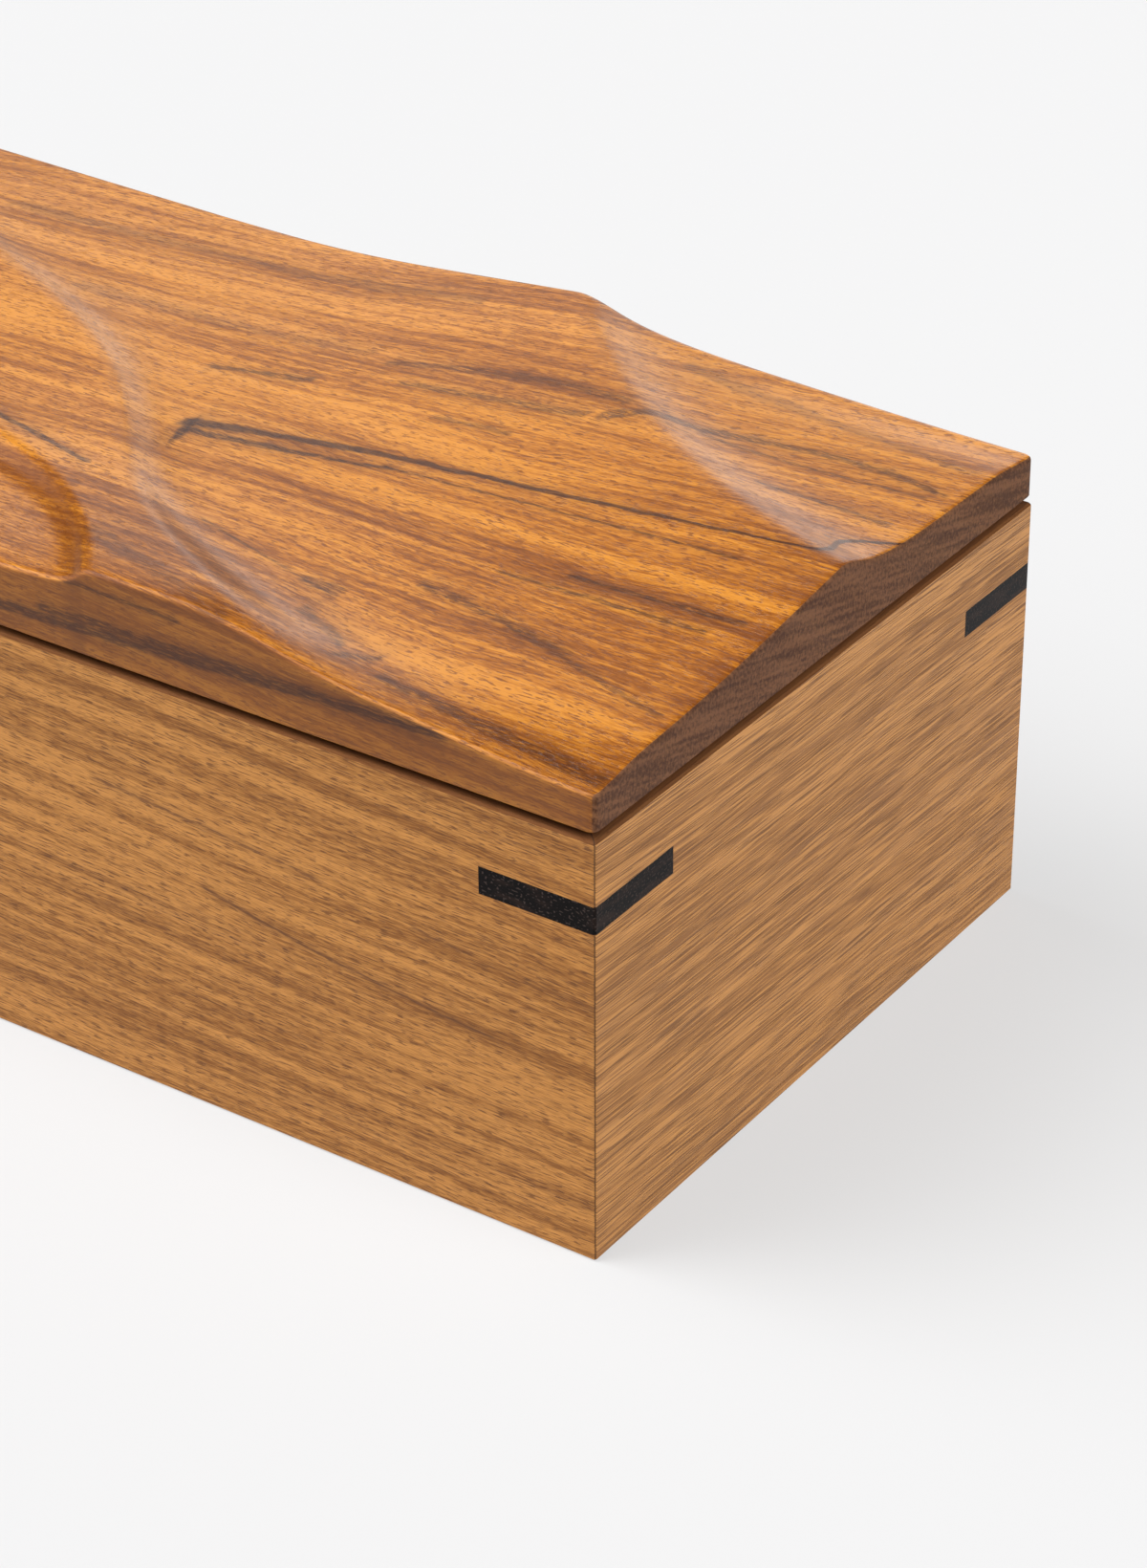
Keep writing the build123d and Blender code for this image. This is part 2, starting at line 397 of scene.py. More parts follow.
def corner_dips(cut, board, u, v):
    """What is sanded off the two corners at the closed end."""
    near = cut.near_dip * bell(u / cut.near_dip_reach, v / cut.dip_width)
    back = cut.back_dip * bell(u / cut.back_dip_reach, (board.width - v) / cut.dip_width)
    return near + back


def carved_height(cut, board, u, v):
    """The height of the carved face above the lid's underside."""
    behind = behind_wave(cut, u, v)
    front_share = (-v / cut.front_softening).math("EXPONENT")
    wave_reach = cut.wave_wall_reach + cut.front_wall_reach * front_share
    wave_side = fading_wall(back_scoops(cut, u, v), cut.wave_wall, wave_reach, behind)
    blend = cut.wave_blend + cut.front_blend * front_share
    top = soft_lower(front_shoulder(cut, u, v, behind), wave_side, blend)
    top = soft_lower(top, open_end_scoop(cut, board, u, v), cut.far_blend)
    return top - corner_dips(cut, board, u, v)


# ---- the lid's board as a node tree

EDGE_ROWS = 5.0  # rows of points that crowd towards each edge, where the face is rounded
BORE_SIDES = 32
BORE_ROWS = 2
BORES_IN_ROW = 3
WELD = 1e-6  # points nearer than this are one
SHARP_TURN = math.radians(38)  # edges that turn by more than this are shaded sharp
TINY = 1e-9  # keeps a division from zero


def add_inputs(tree, sizes):
    """Gives a tree a named input for each size, and returns the inputs as numbers, in order."""
    for name, value in sizes.items():
        label = in_words(name)
        socket = tree.interface.new_socket(name=label, in_out="INPUT", socket_type="NodeSocketFloat")
        socket.default_value = value
    given = tree.nodes.new("NodeGroupInput")
    return [Number(tree, out) for out in given.outputs if out.type == "VALUE"]


def from_edge(share, size, step):
    """How far in from the nearer edge a row stands: crowded at the edge, then in even steps."""
    rows = lower(share, 1.0 - share) * (size / step + EDGE_ROWS)
    crowding = higher(EDGE_ROWS - rows, 0.0)
    return step * (rows - EDGE_ROWS / 2 + crowding * crowding / (2 * EDGE_ROWS))


def board_points(tree, board):
    """Where each point of a flat unit grid goes in plan, and how far it is from the outline."""
    share_x, share_y, _ = parts_of(tree, tree.nodes.new("GeometryNodeInputPosition").outputs[0])
    in_x = from_edge(share_x + 0.5, board.length, board.mesh_step)
    in_y = from_edge(share_y + 0.5, board.width, board.mesh_step)
    past_x = higher(board.corner_radius - in_x, 0.0)
    past_y = higher(board.corner_radius - in_y, 0.0)
    pull = higher(past_x, past_y) / higher(distance_of(past_x, past_y), TINY)
    reach_x = board.length / 2 - higher(in_x, board.corner_radius) + past_x * pull
    reach_y = board.width / 2 - higher(in_y, board.corner_radius) + past_y * pull
    return reach_x * share_x.math("SIGN"), reach_y * share_y.math("SIGN"), lower(in_x, in_y)


def move(tree, mesh, place, chosen=None):
    """Sets the places of a mesh's chosen points."""
    node = add_node(tree, "GeometryNodeSetPosition", {"Geometry": mesh, "Position": place})
    if chosen is not None:
        feed(tree, chosen, node.inputs["Selection"])
    return node.outputs[0]


def next_loop(tree, mesh, edges, place):
    """Carries a loop of edges on to a new place, as a band of faces."""
    inputs = {"Mesh": mesh, "Selection": edges, "Offset Scale": 0.0}
    band = add_node(tree, "GeometryNodeExtrudeMesh", inputs, mode="EDGES")
    return move(tree, band.outputs["Mesh"], place, band.outputs["Top"]), band.outputs["Top"]


def underside_places(tree, board):
    """The loops from the carved face's rim down the sides, round the field and to its floor."""
    x, y, z = parts_of(tree, tree.nodes.new("GeometryNodeInputPosition").outputs[0])
    core_x = board.length / 2 - board.corner_radius
    core_y = board.width / 2 - board.corner_radius
    out_x = (size_of(x) - lower(size_of(x), core_x)) * x.math("SIGN")
    out_y = (size_of(y) - lower(size_of(y), core_y)) * y.math("SIGN")
    inset_share = board.edge_ease / board.corner_radius
    inset_x = x - out_x * inset_share
    inset_y = y - out_y * inset_share
    field_x = x * (board.field_length / board.length) - (board.length - board.field_length) / 2
    field_y = y * (board.field_width / board.width)
    return [
        vector_of(tree, x, y, z - board.edge_round / 2),
        vector_of(tree, x, y, board.underside + board.edge_ease),
        vector_of(tree, inset_x, inset_y, board.underside),
        vector_of(tree, field_x, field_y, board.underside),
        vector_of(tree, x, y, board.field_floor),
    ]


def screw_bores(tree, board):
    """The bores as solid cylinders, two rows of three."""
    inputs = {"Vertices": BORE_SIDES, "Radius": board.bore_radius, "Depth": board.bore_depth * 2.0}
    rod = add_node(tree, "GeometryNodeMeshCylinder", inputs)
    spans = {"Size X": board.bore_span_x, "Size Y": board.bore_span_y}
    counts = {"Vertices X": BORES_IN_ROW, "Vertices Y": BORE_ROWS}
    grid = add_node(tree, "GeometryNodeMeshGrid", {**spans, **counts})
    place = vector_of(tree, board.bore_middle_x, 0.0, board.bore_foot)
    at = add_node(tree, "GeometryNodeTransform", {"Geometry": grid.outputs[0], "Translation": place})
    inputs = {"Points": at.outputs[0], "Instance": rod.outputs[0]}
    rods = add_node(tree, "GeometryNodeInstanceOnPoints", inputs)
    return add_node(tree, "GeometryNodeRealizeInstances", {0: rods.outputs[0]}).outputs[0]


def lid_tree(values, material):
    """The lid's board: carved face, sides, raised field and bores, as one closed mesh."""
    tree = bpy.data.node_groups.new("Carved lid", "GeometryNodeTree")
    tree.is_modifier = True
    tree.interface.new_socket(name="Geometry", in_out="INPUT", socket_type="NodeSocketGeometry")
    tree.interface.new_socket(name="Geometry", in_out="OUTPUT", socket_type="NodeSocketGeometry")
    sizes = types.SimpleNamespace(**dict(zip(values, add_inputs(tree, values))))
    columns = sizes.length / sizes.mesh_step + EDGE_ROWS + 1.0
    rows = sizes.width / sizes.mesh_step + EDGE_ROWS + 1.0
    inputs = {"Size X": 1.0, "Size Y": 1.0, "Vertices X": columns, "Vertices Y": rows}
    grid = add_node(tree, "GeometryNodeMeshGrid", inputs)
    x, y, inside = board_points(tree, sizes)
    height = carved_height(sizes, sizes, sizes.length / 2 - x, y + sizes.width / 2)
    height = lower(height, sizes.highest)
    short = higher(sizes.edge_round - inside, 0.0)
    arc = (sizes.edge_round * sizes.edge_round - short * short).math("SQRT")
    rounded = sizes.underside + height - sizes.edge_round + arc
    mesh = move(tree, grid.outputs[0], vector_of(tree, x, y, rounded))

    faces_beside = Number(tree, tree.nodes.new("GeometryNodeInputMeshEdgeNeighbors").outputs[0])
    edges = faces_beside.math("LESS_THAN", 1.5)  # an edge of the rim has one face beside it
    for place in underside_places(tree, sizes):
        mesh, edges = next_loop(tree, mesh, edges, place)
    rim = add_node(tree, "GeometryNodeMeshToCurve", {"Mesh": mesh, "Selection": edges})
    floor = add_node(tree, "GeometryNodeFillCurve", {"Curve": rim.outputs[0]}, mode="NGONS")
    floor = add_node(tree, "GeometryNodeFlipFaces", {0: floor.outputs[0]})
    down = vector_of(tree, 0.0, 0.0, sizes.field_floor)
    floor = add_node(tree, "GeometryNodeSetPosition", {"Geometry": floor.outputs[0], "Offset": down})
    joined = tree.nodes.new("GeometryNodeJoinGeometry")
    tree.links.new(mesh, joined.inputs[0])
    tree.links.new(floor.outputs[0], joined.inputs[0])
    inputs = {"Geometry": joined.outputs[0], "Distance": WELD}
    closed = add_node(tree, "GeometryNodeMergeByDistance", inputs)
    bored = add_node(tree, "GeometryNodeMeshBoolean", operation="DIFFERENCE", solver="MANIFOLD")
    feed(tree, closed.outputs[0], bored.inputs["Mesh 1"])
    feed(tree, screw_bores(tree, sizes), bored.inputs["Mesh 2"])

    smooth = add_node(tree, "GeometryNodeSetShadeSmooth", {"Geometry": bored.outputs[0]})
    turn = Number(tree, tree.nodes.new("GeometryNodeInputMeshEdgeAngle").outputs[0])
    chosen = {"Selection": turn.math("GREATER_THAN", SHARP_TURN), "Shade Smooth": False}
    inputs = {"Geometry": smooth.outputs[0], **chosen}
    sharp = add_node(tree, "GeometryNodeSetShadeSmooth", inputs, domain="EDGE")
    whole = add_node(tree, "GeometryNodeRealizeInstances", {0: sharp.outputs[0]})
    inputs = {"Geometry": whole.outputs[0], "Material": material}
    done = add_node(tree, "GeometryNodeSetMaterial", inputs)
    tree.links.new(done.outputs[0], tree.nodes.new("NodeGroupOutput").inputs[0])
    return tree


def values_of(group, names):
    """These settings of a group, by name."""
    return {name: getattr(group, name) for name in names}


def board_sizes(board):
    """The lid's sizes that follow from the solids, with the user's own."""
    low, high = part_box("lid_board")
    wall_low, wall_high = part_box("front_side")
    slider_low, slider_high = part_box("lid_slider")
    screws_low, screws_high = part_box("lid_screws")
    wall_thickness = wall_high.y - wall_low.y
    kept = ("corner_radius", "edge_round", "edge_ease", "bore_radius", "bore_depth", "mesh_step")
    return {
        "length": high.x - low.x,
        "width": high.y - low.y,
        "underside": wall_high.z + board.gap,
        "highest": high.z - wall_high.z - board.gap,
        "field_floor": slider_high.z,
        "field_length": high.x - low.x - wall_thickness - board.field_play,
        "field_width": high.y - low.y - 2 * (wall_thickness + board.field_play),
        "bore_span_x": screws_high.x - screws_low.x - 2 * board.head_radius,
        "bore_span_y": screws_high.y - screws_low.y - 2 * board.head_radius,
        "bore_middle_x": (screws_low.x + screws_high.x) / 2,
        "bore_foot": slider_low.z,
        **values_of(board, kept),
    }


def grown(name, tree):
    """Runs a node tree on an empty mesh, and returns the plain mesh object."""
    piece = bpy.data.objects.new(name, bpy.data.meshes.new(name))
    bpy.context.scene.collection.objects.link(piece)
    piece.modifiers.new(tree.name, "NODES").node_group = tree
    depsgraph = bpy.context.evaluated_depsgraph_get()
    mesh = bpy.data.meshes.new_from_object(piece.evaluated_get(depsgraph))
    piece.modifiers.clear()
    piece.data = mesh
    mesh.name = name
    if not mesh.polygons:
        raise RuntimeError(f"{name} came out empty")
    finish = mesh.materials[-1]
    mesh.materials.clear()
    mesh.materials.append(finish)
    return piece


# ---- shared shader groups


def smooth_step(number, low, high):
    """Zero below the low value, one above the high one, and smooth between."""
    inputs = {"Value": number, "From Min": low, "From Max": high}
    node = add_node(number.tree, "ShaderNodeMapRange", inputs, interpolation_type="SMOOTHSTEP")
    return Number(number.tree, node.outputs[0])


def noise(tree, place, detail=2.0, roughness=0.5, distortion=0.0):
    """Noise around a half, at a place whose parts are already in steps of the pattern."""
    inputs = {"Vector": vector_of(tree, *place), "Scale": 1.0}
    inputs |= {"Detail": detail, "Roughness": roughness, "Distortion": distortion}
    return Number(tree, add_node(tree, "ShaderNodeTexNoise", inputs).outputs["Fac"])


def new_group(name, inputs, outputs):
    """A shader node group whose inputs and outputs have these names, and its inputs as numbers."""
    tree = bpy.data.node_groups.new(name, "ShaderNodeTree")
    for label in outputs.split():
        tree.interface.new_socket(name=in_words(label), in_out="OUTPUT", socket_type="NodeSocketFloat")
    return tree, add_inputs(tree, dict.fromkeys(inputs.split(), 0.0))


def put_out(tree, *numbers):
    """Links a group's results to its outputs, in order."""
    end = tree.nodes.new("NodeGroupOutput")
    for number, entry in zip(numbers, end.inputs):
        tree.links.new(number.socket, entry)


def placed(tree, group, **inputs):
    """Places a group in a tree, and returns its outputs as numbers by name."""
    node = add_node(tree, "ShaderNodeGroup", node_tree=group)
    for name, value in inputs.items():
        feed(tree, value, node.inputs[in_words(name)])
    return types.SimpleNamespace(**{out.name.lower(): Number(tree, out) for out in node.outputs})


# Where each pattern of the wood begins and where it is full, within its noise.
BROAD_RANGE = (0.36, 0.64)
LINE_RANGE = (0.5, 0.62)
CLUSTER_RANGE = (0.48, 0.62)
FIBRE_RANGE = (0.38, 0.62)
PORE_RANGE = (0.57, 0.64)


def wood_figure_group():
    """The figure of a board, from places along, across and through it.

    The grain drifts across by so much for each step along, leans by so much for each step through, and
    wanders in slow waves. Clouds are the broad soft patches, bands the growth bands, streaks the dark
    lines that lie in clusters, fibres the fine grain and pores the short dark dashes. Each runs from zero
    to one, and is a noise that is stretched to its own share of a band or of a fibre.
    """
    tree, numbers = new_group(
        "Wood figure",
        "along across through drift lean wave wave_length "
        "band_width band_length fibre_width fibre_length seed",
        "clouds bands streaks fibres pores",
    )
    along, across, through, drift, lean, wave, wave_length, band, reach, fibre, fibre_reach, seed = numbers
    slow = (along / wave_length + seed, across / wave_length * 2.5, through / wave_length)
    wander = noise(tree, slow) - 0.5
    side = across + along * drift + through * lean + wander * wave * 4.0
    clouds = noise(tree, (along / reach * 0.6 + seed, side / band * 0.2, seed), distortion=0.5)
    bands = noise(tree, (along / reach, side / band, seed), roughness=0.6)
    lines = noise(tree, (along / reach * 2.4, side / band * 2.6, seed), roughness=0.6)
    cluster = noise(tree, (along / reach, side / band * 0.3, -seed), distortion=0.4)
    fine = (along / fibre_reach + seed, side / fibre, through / fibre * 0.3)
    fibres = noise(tree, fine, roughness=0.7)
    dashes = noise(tree, (along / fibre_reach * 1.6, side / fibre, through / fibre * 0.5), detail=1.0)
    put_out(
        tree,
        smooth_step(clouds, *BROAD_RANGE),
        smooth_step(bands, *BROAD_RANGE),
        smooth_step(lines, *LINE_RANGE) * smooth_step(cluster, *CLUSTER_RANGE),
        smooth_step(fibres, *FIBRE_RANGE),
        smooth_step(dashes, *PORE_RANGE),
    )
    return tree


HALO_REACH = 3.0  # how far a vein's soft halo reaches, in its half widths
HALO_SHARE = 0.26
VEIN_TAPER = 1.5 * MM
VEIN_WANDER = 2.4  # how far a vein wanders to each side, in its half widths
VEIN_EDGE = (0.5, 1.4)  # where a vein's body starts to fade and where it has gone, in its half widths


def vein_group():
    """A dark vein: a thin layer with a taper, whose body may be broken up, in a soft halo."""
    names = "off first_half last_half along start end broken wander ragged"
    tree, numbers = new_group("Vein", names, "mask")
    off, first, last, along, start, end, broken, wander, ragged = numbers
    share = (along - start) / (end - start)
    half = first + (last - first) * share
    steps = size_of(off / half + wander * VEIN_WANDER)
    body = (1.0 - smooth_step(steps, *VEIN_EDGE)) * (1.0 - broken * (1.0 - ragged))
    halo = (steps * steps / -(HALO_REACH * HALO_REACH)).math("EXPONENT") * HALO_SHARE
    inside = smooth_step(lower(along - start, end - along), 0.0, VEIN_TAPER)
    put_out(tree, higher(body, halo) * inside)
    return tree


def shared_group(name, maker):
    """The group of this name, made once."""
    return bpy.data.node_groups.get(name) or maker()


# ---- materials


def mixed(tree, share, first, second):
    """A colour part way between two, each a colour or a socket."""
    node = add_node(tree, "ShaderNodeMix", data_type="RGBA")
    entries = [entry for entry in node.inputs if entry.enabled]
    for entry, value in zip(entries, (share, first, second)):
        feed(tree, (*value, 1.0) if isinstance(value, Color) else value, entry)
    return next(out for out in node.outputs if out.enabled)


WHITE = (1.0, 1.0, 1.0, 1.0)


def new_material(name, finish):
    """A material with its shader, the surface's place as numbers and its direction as a socket."""
    material = bpy.data.materials.new(name)
    material.use_nodes = True
    tree = material.node_tree
    shader = tree.nodes["Principled BSDF"]
    shader.inputs["Roughness"].default_value = finish.roughness
    shader.inputs["Specular IOR Level"].default_value = finish.sheen
    where = tree.nodes.new("ShaderNodeTexCoord")
    return material, tree, shader, parts_of(tree, where.outputs["Object"]), where.outputs["Normal"]


def set_surface(tree, shader, base, roughness, height, relief):
    """Feeds the shader its colour, its roughness and a height that is as deep as the relief."""
    bump = add_node(tree, "ShaderNodeBump", {"Strength": 1.0, "Distance": relief, "Height": height})
    feed(tree, base, shader.inputs["Base Color"])
    feed(tree, roughness, shader.inputs["Roughness"])
    feed(tree, bump.outputs[0], shader.inputs["Normal"])


def veined(tree, veins, place, base, streak):
    """Draws dark veins over a colour, at a place along, across and up."""
    u, v, z = place
    group = shared_group("Vein", vein_group)
    wander = noise(tree, (u / (7 * MM), v / (5 * MM), 0.0), detail=3.0, roughness=0.6) - 0.5
    torn = noise(tree, (u / (2.5 * MM), v / (0.3 * MM), 0.0), roughness=0.6)
    ragged = smooth_step(torn, 0.34, 0.54)
    for vein in veins:
        steps = u - vein.u * MM
        off = v - vein.v * MM - steps * vein.slope
        if vein.bend:
            off = off - steps * steps * (vein.bend / MM)
        if vein.lean:
            off = off + (z - vein.height * MM) * vein.lean
        drawn = placed(
            tree, group, off=off, first_half=vein.first * MM, last_half=vein.last * MM,
            along=u, start=vein.start * MM, end=vein.end * MM,
            broken=vein.broken, wander=wander, ragged=ragged,
        )
        base = mixed(tree, drawn.mask * vein.dark, base, streak)
    return base


# How far the bands and the fine grain run in the walls, by the grain's axis.
WALL_BAND_LENGTH = {"X": 100 * MM, "Y": 300 * MM}
WALL_FIBRE_LENGTH = {"X": 4 * MM, "Y": 18 * MM}
# The walls' top rims get painted shade, standing in for the shadow in the gap under the lid.
RIM_DEPTH = (1.3 * MM, 0.6 * MM)  # how far under a wall's top its rim's shade starts and is full
GLUE_LINE = (0.06 * MM, 0.22 * MM)  # how far to each side a mitre's line is full and has gone


def wall_material(name, finish, length_axis, seed, paler=0.0, mitred=True, veins=()):
    """Straight-grained wood, with its grain along X or Y. A paler board shows more of its fine grain. A
    mitred wall gets painted shade on its top rim, under the lid.
    """
    material, tree, shader, (x, y, z), facing = new_material(name, finish)
    along, through = (x, y) if length_axis == "X" else (y, x)
    figure = placed(
        tree, shared_group("Wood figure", wood_figure_group), along=along, across=z, through=through,
        drift=0.03, lean=0.45, wave=1.2 * MM, wave_length=120 * MM, seed=seed,
        band_width=finish.band_width, band_length=WALL_BAND_LENGTH[length_axis],
        fibre_width=finish.fibre_width, fibre_length=WALL_FIBRE_LENGTH[length_axis],
    )
    fine = 0.38 + paler
    tone = figure.clouds * 0.12 + figure.bands * (0.76 - fine) + figure.fibres * fine
    base = mixed(tree, smooth_step(tone, 0.05 + paler, 0.85 - paler), finish.pale, finish.dark)
    base = mixed(tree, figure.streaks * 0.3 + figure.pores * (0.75 + paler), base, finish.pore)
    base = veined(tree, veins, (along, z, through), base, finish.pore)
    gloss = figure.bands * 0.08 + figure.pores * 0.15 + (finish.roughness - 0.04)
    if paler:
        base = mixed(tree, paler, base, finish.bleached)
    if mitred:
        # painted shade: the upward faces just under the wall's top are darkened towards the pore colour,
        # for the shadow in the gap under the lid, and are made rougher
        _, _, facing_up = parts_of(tree, facing)
        _, wall_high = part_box("front_side")
        near_top = smooth_step(z, *(wall_high.z - depth for depth in RIM_DEPTH))
        rim = smooth_step(facing_up, 0.1, 0.5) * near_top
        base = mixed(tree, rim * finish.rim_painted_shade, base, finish.pore)
        _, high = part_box("lid_board")
        off = size_of(size_of(x) - size_of(y) - (high.x - high.y))
        line = 1.0 - smooth_step(off, *GLUE_LINE)
        base = mixed(tree, line * 0.85, base, finish.glue)
        gloss = gloss + rim * 0.5
    set_surface(tree, shader, base, gloss, -figure.pores - figure.fibres * 0.3, 0.03 * MM)
    return material


class Vein(typing.NamedTuple):
    """A dark vein, in millimetres, through a place u along and v across.

    Going along, it turns across by its slope and its bend; going up, it leans across from its height. It
    has a start, an end and half a width at each, and a share of its body that is broken up.
    """

    u: float
    v: float
    slope: float
    start: float
    end: float
    first: float
    last: float
    dark: float = 0.9
    broken: float = 0.8
    bend: float = 0.0
    lean: float = 0.0
    height: float = 81.9


# The hairlines in the front wall.
FRONT_VEINS = (
    Vein(97.8, 34.4, -0.13, 70, 124, 0.3, 0.2, bend=0.0016, broken=0.5),
    Vein(114, 45.2, -0.1, 108, 120, 0.25, 0.25, dark=0.8),
    Vein(81, 48.8, -0.08, 50, 93, 0.35, 0.25, dark=0.8),
)

# The dark veins of the lid's board.
LID_VEINS = (
    Vein(48.4, 63.4, -0.252, -4, 115, 0.3, 1.35, lean=3.33, broken=0.15),
    Vein(96, 56.3, -0.17, 76, 113, 0.4, 1.1, broken=0.45),
    Vein(112, 52.8, 2.6, 109.8, 113.8, 2.6, 2.8, broken=0.3),
    Vein(40, 59.4, 0.01, 14, 80, 0.35, 0.25, dark=0.8),
    Vein(20, 99.8, -0.05, 2, 58, 0.8, 1.5, bend=-0.009, dark=0.75),
    Vein(18, 94.6, -0.1, 4, 44, 0.4, 0.5, dark=0.65),
    Vein(15, 84.8, -0.05, 4, 28, 0.7, 0.6, bend=-0.006, dark=0.65),
    Vein(76, 91.6, -0.06, 54, 100, 1.3, 0.9, bend=-0.004, dark=0.6),
    Vein(74, 84.3, -0.05, 58, 94, 1.2, 0.7, dark=0.65),
    Vein(74, 76, -0.03, 66, 82, 0.9, 0.5, dark=0.6),
    Vein(116, 75.2, -0.3, 105, 124, 1, 0.8, dark=0.75),
    Vein(128, 87.4, -0.1, 102, 160, 1.2, 2, dark=0.3, broken=0.6),
    Vein(140, 108, -0.1, 96, 190, 1.6, 1.6, dark=0.35, broken=0.2),
    Vein(30, 110, 0.1, 2, 60, 1, 2, dark=0.35, broken=0.2),
    Vein(64, 25, 0.05, 60, 69, 1.8, 1.4, dark=0.6, broken=1),
    Vein(76, 27, 0.25, 60, 92, 0.3, 0.4, dark=0.6),
    Vein(42, 31.6, 0.2, 22, 54, 0.6, 1.2, dark=0.65, broken=1),
    Vein(18, 24.8, 0.3, 2, 36, 0.7, 0.5, dark=0.55),
    Vein(18, 45.2, 0, 4, 36, 0.7, 0.5, dark=0.8),
    Vein(26, 41.4, 0.02, 8, 46, 0.6, 0.4, dark=0.75),
    Vein(56, 14, 0.55, 49, 63, 1.4, 1.8, dark=0.65, broken=1),
    Vein(46, 9.6, -0.9, 43, 50, 1.8, 1.4, dark=0.65, broken=1),
    Vein(20, 5, 0.08, 0, 42, 1.8, 1.2, dark=0.7),
    Vein(125, 34.8, 0.28, 112, 142, 0.5, 0.7, dark=0.85, broken=0.4),
    Vein(80, 6, 0.35, 62, 98, 2.2, 1.6, dark=0.4),
)

# The dark veins of the lid's long edges, whose v is a height.
EDGE_VEINS = (
    Vein(80, 76.4, -0.045, 24, 170, 0.6, 1.5, dark=0.8, broken=0.5),
    Vein(60, 78.4, -0.03, 22, 98, 0.5, 0.7, dark=0.7),
    Vein(84, 83, 0.02, 70, 98, 0.4, 0.5, dark=0.7),
    Vein(190, 77.6, 0.02, 130, 262, 1.1, 0.5, dark=0.7, broken=0.5),
)


class Patch(typing.NamedTuple):
    """A broad patch of tone, in millimetres: its place, how far it reaches and how much browner it is."""

    u: float
    v: float
    along: float
    across: float
    browner: float


# The patches of the lid's board. One that is browner by less than nothing is more golden.
LID_PATCHES = (
    Patch(78, 89, 24, 6, 0.32),
    Patch(120, 70, 26, 9, -0.35),
    Patch(150, 95, 24, 4, -0.3),
    Patch(165, 70, 22, 16, -0.25),
    Patch(75, 54, 32, 3.5, -0.3),
    Patch(50, 45, 50, 5, 0.18),
    Patch(95, 12, 34, 13, 0.2),
    Patch(150, 14, 30, 24, 0.05),
    Patch(30, 16, 24, 5, -0.25),
    Patch(12, 5, 30, 4, 0.3),
    Patch(12, 70, 8, 14, 0.2),
    Patch(1, 34, 4, 34, 0.3),
    Patch(72, 78, 34, 14, -0.25),
    Patch(28, 102, 30, 12, -0.3),
)


def lid_patches(u, v):
    """How much browner than the rest the board is at a place."""
    browner = u * 0.0
    for patch in LID_PATCHES:
        along = (u - patch.u * MM) / (patch.along * MM)
        across = (v - patch.v * MM) / (patch.across * MM)
        browner = browner + bell(along, across) * patch.browner
    return browner


# Painted shade down the bite's steep wall: how far inside the bite's rim this dark band starts and is
# full, and where it fades and has gone.
BITE_SHADE_START = (-0.4 * MM, 0.6 * MM)
BITE_SHADE_END = (1.2 * MM, 4.0 * MM)


def lid_material(finish, cut):
    """Figured wood whose growth layers the carving cuts through, with dark veins and darker ends, and
    painted shade on the long edges and down the bite's wall.
    """
    material, tree, shader, (x, y, z), facing = new_material("Figured lid wood", finish)
    low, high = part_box("lid_board")
    u = high.x - x
    v = y - low.y
    figure = placed(
        tree, shared_group("Wood figure", wood_figure_group), along=u - 60 * MM, across=v, through=z,
        drift=v * 2.2 - 0.1, lean=1.1, wave=1.6 * MM, wave_length=60 * MM, seed=3.7,
        band_width=finish.band_width, band_length=finish.band_length,
        fibre_width=finish.fibre_width, fibre_length=finish.fibre_length,
    )
    brown = lid_patches(u, v)
    tone = figure.clouds * 0.32 + figure.bands * 0.34 + figure.fibres * 0.34 + brown * 0.8
    base = mixed(tree, smooth_step(tone, 0.1, 0.75), finish.pale, finish.middle)
    base = mixed(tree, smooth_step(tone, 0.5, 1.1), base, finish.dark)
    clustered = figure.streaks * smooth_step(brown, -0.25, 0.35)
    base = mixed(tree, clustered * 0.75, base, finish.dark)
    base = mixed(tree, figure.pores * 0.75, base, finish.dark)
    # painted shade: the bite's steep wall is darkened where it catches no reflection
    inside = cut.bite_radius - distance_of(u - cut.bite_centre_u, v - cut.bite_centre_v)
    bite_wall_shade = smooth_step(inside, *BITE_SHADE_START) * (1.0 - smooth_step(inside, *BITE_SHADE_END))
    base = mixed(tree, bite_wall_shade * 0.5, base, finish.dark)
    facing_x, facing_y, _ = parts_of(tree, facing)
    # painted shade: the long edges are toned darker, and their own veins are drawn on them
    edge_shade_and_veins = smooth_step(size_of(facing_y), 0.8, 0.97)
    side = mixed(tree, 0.55, base, finish.side)
    side = veined(tree, EDGE_VEINS, (u, z, v), side, finish.streak)
    base = veined(tree, LID_VEINS, (u, v, z), base, finish.streak)
    base = mixed(tree, edge_shade_and_veins, base, side)
    rings = noise(tree, ((z + v * 0.25) / (1.1 * MM), v / (20 * MM), u / (20 * MM)), detail=3.0)
    specks = noise(tree, (v / (0.5 * MM), z / (0.7 * MM), u / (2 * MM)))
    end_tone = smooth_step(rings * 0.5 + specks * 0.5, 0.38, 0.62)
    ends = mixed(tree, end_tone, finish.end_pale, finish.end_dark)
    cut_end = smooth_step(size_of(facing_x), 0.4, 0.65)
    base = mixed(tree, cut_end * 0.94, base, ends)
    edge = smooth_step(size_of(facing_y), 0.3, 0.6)
    gloss = figure.clouds * 0.06 + cut_end * 0.5 + edge * 0.3 + (finish.roughness - 0.03)
    set_surface(tree, shader, base, gloss, -figure.pores - figure.fibres * 0.4, 0.02 * MM)
    return material


